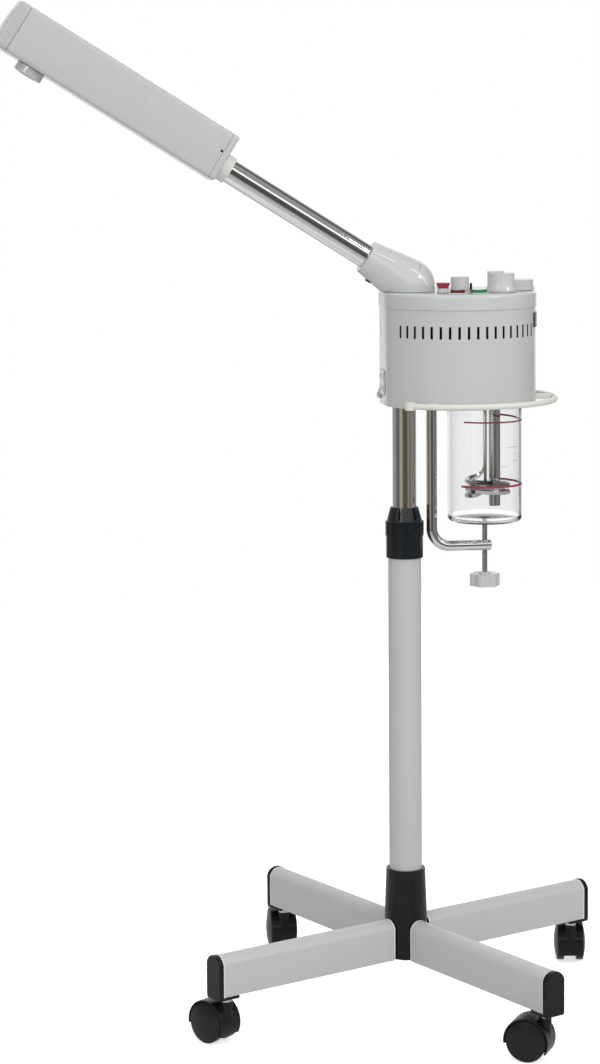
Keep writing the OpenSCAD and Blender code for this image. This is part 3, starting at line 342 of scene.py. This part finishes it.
def refine(node, body, width=0.0004, angle=32.0, segments=2):
    """A node's own form with its facets merged and its edges rounded, in the node's place."""
    source = nodes[node]
    slot_name = slot_of[node]
    mesh = source.data.copy()
    mesh.name = node + "_fine"
    shape = bmesh.new()
    shape.from_mesh(mesh)
    bmesh.ops.remove_doubles(shape, verts=shape.verts, dist=WELD)
    bmesh.ops.dissolve_limit(shape, angle_limit=radians(FLAT_ANGLE), verts=shape.verts, edges=shape.edges)
    for face in shape.faces:
        face.smooth = True
    shape.to_mesh(mesh)
    shape.free()
    if "custom_normal" in mesh.attributes:
        mesh.attributes.remove(mesh.attributes["custom_normal"])
    made = piece(node + "_fine", mesh, body, slot_name, OWN_FINISH.get(node))
    soften(made, width, angle, segments)
    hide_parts(node)
    return made


def lathe(name, profile, centre, steps=128):
    """A closed profile of (radius, height) turned about a vertical line."""
    mesh = bpy.data.meshes.new(name)
    shape = bmesh.new()
    rings = []
    for radius, height in profile:
        ring = [shape.verts.new((centre[0] + radius * cos(2 * pi * i / steps),
                                 centre[1] + radius * sin(2 * pi * i / steps), height)) for i in range(steps)]
        rings.append(ring)
    count = len(rings)
    for j in range(count):
        low, high = rings[j], rings[(j + 1) % count]
        for i in range(steps):
            k = (i + 1) % steps
            shape.faces.new((low[i], low[k], high[k], high[i])).smooth = True
    bmesh.ops.recalc_face_normals(shape, faces=shape.faces)
    shape.to_mesh(mesh)
    shape.free()
    return mesh


def arc(centre, radius, start, end, steps):
    return [(centre[0] + radius * cos(radians(start + (end - start) * i / steps)),
             centre[1] + radius * sin(radians(start + (end - start) * i / steps))) for i in range(steps + 1)]


jar_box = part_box("jar")
JAR_X = (jar_box[0][0] + jar_box[1][0]) / 2
JAR_R = (jar_box[1][0] - jar_box[0][0]) / 2
JAR_LOW = jar_box[0][2]
JAR_TOP = jar_box[1][2]
JAR_WALL = 0.0025
JAR_FOOT = 0.0055
JAR_INNER_FOOT = 0.005
JAR_FLOOR = 0.0028


def jar():
    """The glass jar: a thick rounded foot, thin wall and a beaded rim."""
    outer_foot = arc((JAR_R - JAR_FOOT, JAR_LOW + JAR_FOOT), JAR_FOOT, -90, 0, 10)
    inner_foot = arc((JAR_R - JAR_WALL - JAR_INNER_FOOT, JAR_LOW + JAR_FLOOR + JAR_INNER_FOOT),
                     JAR_INNER_FOOT, 0, -90, 10)
    rim = arc((JAR_R - JAR_WALL / 2, JAR_TOP - JAR_WALL / 2), JAR_WALL / 2, 0, 180, 8)
    profile = [(0.0004, JAR_LOW + 0.0012), (0.020, JAR_LOW + 0.0010), (0.030, JAR_LOW + 0.0002)]
    profile += outer_foot + [(JAR_R, 0.60), (JAR_R, 0.64), (JAR_R, 0.68)] + rim
    profile += [(JAR_R - JAR_WALL, 0.68), (JAR_R - JAR_WALL, 0.62)] + inner_foot
    profile += [(0.02, JAR_LOW + JAR_FLOOR), (0.0004, JAR_LOW + 0.0030)]
    made = piece("jar_glass_body", lathe("jar_glass_body", profile, (JAR_X, 0.0)), "jar", "jar_glass")
    made.visible_shadow = False
    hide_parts("jar")


def band_mesh(name, centre, radius, low, high, start, end, thick=0.00012, steps=64):
    """A thin printed strip on a round wall."""
    mesh = bpy.data.meshes.new(name)
    shape = bmesh.new()
    section = ((radius, low), (radius + thick, low), (radius + thick, high), (radius, high))
    rows = []
    for i in range(steps + 1):
        turn = radians(start + (end - start) * i / steps)
        rows.append([shape.verts.new((centre[0] + r * cos(turn), centre[1] + r * sin(turn), z))
                     for r, z in section])
    for first, second in zip(rows, rows[1:]):
        for i in range(4):
            k = (i + 1) % 4
            shape.faces.new((first[i], first[k], second[k], second[i]))
    shape.faces.new(rows[0])
    shape.faces.new(rows[-1])
    bmesh.ops.recalc_face_normals(shape, faces=shape.faces)
    shape.to_mesh(mesh)
    shape.free()
    return mesh


JAR_FRONT = -102.4
MARK_HEIGHT = 0.0006


def jar_marks():
    """Two red lines round the jar and four short grey marks, in degrees from the jar's front."""
    for label, z, half, back in (("upper", 0.6797, 0.0009, 33), ("lower", 0.6056, 0.0013, 38)):
        mesh = band_mesh("jar_line_" + label, (JAR_X, 0.0), JAR_R, z - half, z + half,
                         JAR_FRONT - back, JAR_FRONT + 170)
        piece("jar_line_" + label, mesh, "jar", "jar_glass", "red_print")
    for label, z, start, end in (("a", 0.6503, 34, 62), ("b", 0.6418, 50, 62), ("c", 0.6345, 48, 62),
                                 ("d", 0.6285, 22, 36)):
        mesh = band_mesh("jar_mark_" + label, (JAR_X, 0.0), JAR_R, z, z + MARK_HEIGHT,
                         JAR_FRONT + start, JAR_FRONT + end, 0.0001, 8)
        piece("jar_mark_" + label, mesh, "jar", "jar_glass", "grey_print")


jar()
jar_marks()

for body, names in (("stand", "hub leg_end_caps base_bolts collar_body"), ("collar_nut", "collar_nut"),
                    ("head", "lid socket_plate power_inlet badge_plate level_tube switch_bezels"),
                    ("rocker_red", "rocker_red"), ("rocker_green", "rocker_green"),
                    ("timer_knob", "timer_knob"), ("vapour_knob", "vapour_knob"),
                    ("filler_cap", "filler_cap"), ("clamp_screw", "clamp_knob"), ("elbow", "elbow"),
                    ("arm", "ferrule arm_box"), ("nozzle", "nozzle")):
    for node in names.split():
        refine(node, body)
for corner in ("fl", "fr", "bl", "br"):
    refine("caster_hood_" + corner, "caster_" + corner)
    refine("caster_wheels_" + corner, "wheels_" + corner)


def paint_shade_inside(shell):
    """Painted shade for the housing: near-black on its inner walls and slot sides, the upright faces that
    don't look outwards.
    """
    shell.data.materials.append(finish["housing_inside_painted_shade"])
    low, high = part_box("housing_shell")
    middle = Vector((high[0] - (high[1] - low[1]) / 2, 0.0, 0.0))
    for face in shell.data.polygons:
        away = face.center - middle
        away.z = 0.0
        upright = abs(face.normal.z) < 0.5
        outward = face.normal.dot(away.normalized()) >= 0.3
        if upright and not outward:
            face.material_index = 1


EDGE_WIDTH = 0.0013
EDGE_SUNK = -0.0001
EDGE_PROUD = 0.00015
END_REACH = 2e-5


def leg_edge_highlights(node, turn):
    """Painted highlight strips on a leg's end edges, beside its end cap and at the hub."""
    along = Vector((cos(radians(turn)), sin(radians(turn)), 0.0))
    across = Vector((-along.y, along.x, 0.0))
    points = [vertex.co for vertex in nodes[node].data.vertices]
    reach = [point.dot(along) for point in points]
    for label, edge, inward in (("outer", max(reach), -EDGE_WIDTH), ("inner", min(reach), EDGE_WIDTH)):
        flat = [Vector((point.dot(across), point.z))
                for point, s in zip(points, reach) if abs(s - edge) < END_REACH]
        loop = [flat[i] for i in convex_order(flat)]
        middle = sum(loop, Vector((0.0, 0.0))) / len(loop)
        shape = bmesh.new()
        rows = []
        section = ((edge, EDGE_SUNK), (edge, EDGE_PROUD),
                   (edge + inward, EDGE_PROUD), (edge + inward, EDGE_SUNK))
        for spot in loop:
            out = (spot - middle).normalized()
            row = []
            for s, o in section:
                place = spot + out * o
                row.append(shape.verts.new(along * s + across * place.x + Vector((0, 0, place.y))))
            rows.append(row)
        for i, row in enumerate(rows):
            after = rows[(i + 1) % len(rows)]
            for j in range(4):
                k = (j + 1) % 4
                shape.faces.new((row[j], after[j], after[k], row[k]))
        bmesh.ops.recalc_face_normals(shape, faces=shape.faces)
        name = node + "_edge_" + label
        mesh = bpy.data.meshes.new(name)
        shape.to_mesh(mesh)
        shape.free()
        piece(name, mesh, "stand", "leg_paint", "cut_edge")


def convex_order(flat):
    """Indices of the outer points, in order round the shape."""
    order = sorted(range(len(flat)), key=lambda i: (flat[i].x, flat[i].y))

    def side(run):
        kept = []
        for i in run:
            while len(kept) > 1 and turns_right(flat[kept[-2]], flat[kept[-1]], flat[i]):
                kept.pop()
            kept.append(i)
        return kept[:-1]

    return side(order) + side(order[::-1])


def turns_right(a, b, c):
    return (b.x - a.x) * (c.y - a.y) - (b.y - a.y) * (c.x - a.x) <= 1e-12


TURNED_STEPS = 40


def turned(name, profile, base, axis, body, slot_name, material=None):
    """A small lathed part standing on a point, along any direction."""
    mesh = lathe(name, profile, (0.0, 0.0), TURNED_STEPS)
    mesh.transform(Matrix.Translation(base) @ Vector(axis).to_track_quat("Z", "Y").to_matrix().to_4x4())
    piece(name, mesh, body, slot_name, material)


def pilot_lamp():
    """The lamp's pale foot and its flared red lens."""
    low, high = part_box("pilot_lamp")
    centre = ((low[0] + high[0]) / 2, (low[1] + high[1]) / 2)
    foot_top = LID_Z + 0.0055
    foot = [(0.0004, low[2] + 0.0002), (0.0050, low[2] + 0.0002), (0.0050, LID_Z + 0.0001),
            (0.0072, LID_Z + 0.0001), (0.0070, LID_Z + 0.002), (0.0064, foot_top), (0.0004, foot_top)]
    lens = [(0.0004, foot_top + 0.0001), (0.0060, foot_top + 0.0001), (0.0064, foot_top + 0.001),
            (0.0080, high[2] - 0.0009), (0.0078, high[2] - 0.0002), (0.0070, high[2]), (0.0004, high[2])]
    for label, profile, material in (("foot", foot, "housing_plastic"), ("lens", lens, "lamp_red")):
        mesh = lathe("pilot_" + label, profile, centre, 64)
        made = piece("pilot_" + label, mesh, "head", "lamp_red", material)
        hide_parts("pilot_lamp")


def bead(name, points, radius, body, slot_name, material):
    """A fine raised line through points in millimetres, thin at both ends."""
    mesh = bpy.data.meshes.new(name)
    shape = bmesh.new()
    places = [Vector(point) / 1000 for point in points]
    rings = []
    for i, place in enumerate(places):
        along = (places[min(i + 1, len(places) - 1)] - places[max(i - 1, 0)]).normalized()
        side = along.cross(Vector((0, 0, 1))).normalized()
        other = along.cross(side)
        size = radius * (0.35 if i in (0, len(places) - 1) else 1.0)
        rings.append([shape.verts.new(place + size * (cos(pi * j / 4) * side + sin(pi * j / 4) * other))
                      for j in range(8)])
    for first, second in zip(rings, rings[1:]):
        for j in range(8):
            k = (j + 1) % 8
            shape.faces.new((first[j], first[k], second[k], second[j])).smooth = True
    shape.faces.new(rings[0])
    shape.faces.new(rings[-1])
    bmesh.ops.recalc_face_normals(shape, faces=shape.faces)
    shape.to_mesh(mesh)
    shape.free()
    piece(name, mesh, body, slot_name, material)


LID_Z = 0.829
LEG_TURN = 26.5
HIGHLIGHT_RADIUS = 0.0008
paint_shade_inside(refine("housing_shell", "head"))
refine("clamp_pad", "clamp_tip")
pilot_lamp()
for quarter, corner in enumerate(("back_right", "back_left", "front_left", "front_right")):
    refine("leg_" + corner, "stand")
    leg_edge_highlights("leg_" + corner, LEG_TURN + 90 * quarter)
for cap in ("rear_cap", "front_cap"):
    refine(cap, "arm", 0.0018, 40.0, 3)
PIN = [(0.0003, 0.0), (0.0015, 0.0), (0.0015, 0.0076), (0.0011, 0.0082), (0.0003, 0.0084)]
turned("timer_stop_pin", PIN, (0.0797, 0.004, LID_Z + 0.0001), (0, 0, 1), "head", "black_plastic")
DOME = [(0.0003, 0.0), (0.0046, 0.0), (0.0044, 0.0014), (0.0036, 0.0028), (0.0022, 0.0038), (0.0003, 0.0042)]
turned("housing_back_screw", DOME, (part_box("housing_shell")[0][0] - 0.0001, 0.02, 0.709), (-1, 0, 0), "head",
       "housing_plastic")
HEAD = [(0.0003, 0.0), (0.0017, 0.0), (0.0015, 0.0005), (0.0003, 0.0007)]
turned("box_side_screw", HEAD, (-0.2125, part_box("arm_box")[0][1] + 0.0001, 0.9916), (0, -1, 0), "arm",
       "housing_plastic", "dark_screw")
# Painted highlights: two pale beads along the elbow's shoulder where light catches its creases, points in
# millimetres.
ELBOW_HIGHLIGHT_UPPER = ((-37.8, -18.6, 874.9), (-30.8, -19.4, 872), (-23.5, -20.3, 868.5), (-16.1, -21.2, 865.1),
               (-8.3, -21.9, 861.8))
ELBOW_HIGHLIGHT_LOWER = ((1.1, -23.6, 856.4), (5.9, -24, 854.6), (9.8, -24.8, 852.5), (13.7, -25.7, 849.5),
               (16.5, -25.8, 847.1), (19.1, -26, 843.2), (21.2, -25.7, 839.4), (24.4, -23.7, 835.5),
               (27.4, -21.5, 831.4))
for label, points in (("upper", ELBOW_HIGHLIGHT_UPPER), ("lower", ELBOW_HIGHLIGHT_LOWER)):
    bead("elbow_highlight_" + label, points, HIGHLIGHT_RADIUS, "elbow", "pale_plastic", "cut_edge")


# Stage and light
FLOOR_SIZE = 5.6
WORLD_LIGHT = 0.55
WARM = (0.44, 0.36, 0.27)
TAN = (0.26, 0.22, 0.18)
# What mirrors see: tones round the room by azimuth, and upwards before the part by elevation.
ROOM = ((-180, 0.16), (-170, 0.12), (-159, 0.12), (-149, 0.15), (-139, (0.35, 0.30, 0.235)), (-129, WARM),
        (-119, (0.27, 0.235, 0.195)), (-110, 0.09), (-91, 0.08), (-82, 0.07), (-73, 0.11), (-63, TAN),
        (-53, 0.18), (-42, (0.145, 0.12, 0.10)), (-31, TAN), (-20, 0.20), (-7, 0.18), (8, 0.08), (26, 0.13),
        (50, 0.28), (62, 0.95), (110, 0.95), (125, 0.28), (150, 0.29), (165, 0.31), (178, 0.16))
CEILING = ((0, 0.1), (10, 0.08), (17, 0.14), (20, 1.5), (26, 1.5), (29, 0.4), (38, 0.26), (47, 0.32),
           (55, 0.38), (70, 0.24), (90, 0.18))
CEILING_START = 8
CEILING_FULL = 18
FLOOR_RINGS = ((0.0, 0.38), (0.11, 0.58), (0.18, 0.64), (0.246, 0.78), (0.29, 0.6), (0.35, 0.5), (0.5, 0.48),
               (0.71, 0.36), (0.86, 0.28), (1.0, 0.12))
FLOOR_GLOW = 0.62


def stage_plane(name, centre, size, material):
    mesh = bpy.data.meshes.new(name)
    shape = bmesh.new()
    bmesh.ops.create_grid(shape, x_segments=2, y_segments=2, size=size / 2)
    shape.to_mesh(mesh)
    shape.free()
    made = link_object(name, mesh)
    made.location = centre
    mesh.materials.append(material)


def math_node(tree, operation, first, second, clamp=False):
    """A math node's result from two sockets or numbers."""
    made = tree.nodes.new("ShaderNodeMath")
    made.operation = operation
    made.use_clamp = clamp
    for slot, value in ((made.inputs[0], first), (made.inputs[1], second)):
        if isinstance(value, float):
            slot.default_value = value
        else:
            tree.links.new(value, slot)
    return made.outputs[0]


def unit_range(tree, value, start, end):
    made = tree.nodes.new("ShaderNodeMapRange")
    made.inputs["From Min"].default_value = start
    made.inputs["From Max"].default_value = end
    tree.links.new(value, made.inputs["Value"])
    return made.outputs["Result"]


def ramp(tree, value, stops):
    made = tree.nodes.new("ShaderNodeValToRGB")
    tree.links.new(value, made.inputs["Fac"])
    elements = made.color_ramp.elements
    while len(elements) > 1:
        elements.remove(elements[-1])
    for count, (place, tone) in enumerate(stops):
        stop = elements.new(place) if count else elements[0]
        stop.position = place
        stop.color = (*tone, 1) if isinstance(tone, tuple) else (tone, tone, tone, 1)
    return made.outputs["Color"]


def ray_choice(tree, plain, mirrored, direct):
    """One shader for plain light, one for mirrors, and one for the camera, also straight through glass."""
    path = tree.nodes.new("ShaderNodeLightPath")
    unbounced = math_node(tree, "SUBTRACT", 1.0, path.outputs["Glossy Depth"], True)
    through = math_node(tree, "MULTIPLY", path.outputs["Is Transmission Ray"], unbounced)
    seen = math_node(tree, "MAXIMUM", path.outputs["Is Camera Ray"], through)
    made = plain
    for factor, shader in ((path.outputs["Is Glossy Ray"], mirrored), (seen, direct)):
        choice = tree.nodes.new("ShaderNodeMixShader")
        tree.links.new(factor, choice.inputs[0])
        tree.links.new(made, choice.inputs[1])
        tree.links.new(shader, choice.inputs[2])
        made = choice.outputs[0]
    return made


def floor_material():
    """Pale floor: white with its shadow to the camera and through glass, ringed tones to mirrors."""
    made = Sheet("floor")
    grain = made.spread(made.noise(3.0, 3.0), 0.0, 1.0)
    lit = made.node("BsdfDiffuse")
    made.link(made.blend(grain, (0.60, 0.60, 0.60), (0.61, 0.61, 0.61)), lit.inputs["Color"])
    shown = made.node("BsdfDiffuse")
    made.link(made.blend(grain, (0.90, 0.90, 0.90), (0.91, 0.91, 0.91)), shown.inputs["Color"])
    glow = made.node("Emission")
    glow.inputs["Strength"].default_value = FLOOR_GLOW
    both = made.node("AddShader")
    made.link(shown.outputs[0], both.inputs[0])
    made.link(glow.outputs[0], both.inputs[1])
    away = made.node("VectorMath", operation="LENGTH")
    made.link(made.coord.outputs["Object"], away.inputs[0])
    outwards = unit_range(made.tree, away.outputs["Value"], 0.0, FLOOR_SIZE / 2)
    mirror = made.node("Emission")
    made.link(ramp(made.tree, outwards, FLOOR_RINGS), mirror.inputs["Color"])
    last = ray_choice(made.tree, lit.outputs[0], mirror.outputs[0], both.outputs[0])
    made.link(last, made.output.inputs["Surface"])
    return made.material


def background(tree, colour, strength=1.0):
    made = tree.nodes.new("ShaderNodeBackground")
    if isinstance(colour, tuple):
        made.inputs["Color"].default_value = (*colour, 1)
    else:
        tree.links.new(colour, made.inputs["Color"])
    made.inputs["Strength"].default_value = strength
    return made.outputs[0]


def world():
    """Plain grey light, white to the camera and through glass. Metal mirrors a white wall behind the part,
    and a darker room with pale screens before it."""
    made = bpy.data.worlds.new("studio")
    made.use_nodes = True
    tree = made.node_tree
    tree.nodes.clear()
    output = tree.nodes.new("ShaderNodeOutputWorld")
    coord = tree.nodes.new("ShaderNodeTexCoord")
    split = tree.nodes.new("ShaderNodeSeparateXYZ")
    tree.links.new(coord.outputs["Generated"], split.inputs[0])
    ahead, aside, rise = split.outputs["Y"], split.outputs["X"], split.outputs["Z"]
    azimuth = unit_range(tree, math_node(tree, "ARCTAN2", ahead, aside), -pi, pi)
    around = ramp(tree, azimuth, [((degrees + 180) / 360, tone) for degrees, tone in ROOM])
    upwards = ramp(tree, rise, [(sin(radians(degrees)), tone) for degrees, tone in CEILING])
    climb = unit_range(tree, rise, sin(radians(CEILING_START)), sin(radians(CEILING_FULL)))
    before = unit_range(tree, ahead, 0.05, -0.15)
    both = tree.nodes.new("ShaderNodeMix")
    both.data_type = "RGBA"
    tree.links.new(math_node(tree, "MULTIPLY", climb, before), both.inputs[0])
    tree.links.new(around, both.inputs[6])
    tree.links.new(upwards, both.inputs[7])
    light = background(tree, (0.98, 0.99, 1.0), WORLD_LIGHT)
    mirror = background(tree, both.outputs[2])
    white = background(tree, (1, 1, 1))
    tree.links.new(ray_choice(tree, light, mirror, white), output.inputs["Surface"])
    scene.world = made


def lamp(name, place, size, power, mirrored):
    data = bpy.data.lights.new(name, "AREA")
    data.shape = "RECTANGLE"
    data.size, data.size_y = size
    data.energy = power
    made = bpy.data.objects.new(name, data)
    made.location = place
    made.rotation_euler = (Vector((0.0, 0.0, 0.75)) - Vector(place)).to_track_quat("-Z", "Y").to_euler()
    made.visible_glossy = mirrored
    scene.collection.objects.link(made)


stage_plane("floor", (0, 0, -0.0006), FLOOR_SIZE, floor_material())
world()
for name, place, size, power, mirrored in (
        ("front", (0.5, -3.2, 1.6), (2.2, 2.2), 37.0, False),
        ("left", (-3.0, -1.2, 1.4), (1.4, 2.4), 7.0, False),
        ("above", (0.2, -0.2, 3.2), (2.4, 2.4), 17.0, False),
        ("key_right", (2.1, -1.7, 2.7), (0.5, 0.5), 16.0, True),
        ("key_left", (-1.9, -2.6, 2.2), (0.45, 0.45), 9.0, True)):
    lamp(name, place, size, power, mirrored)
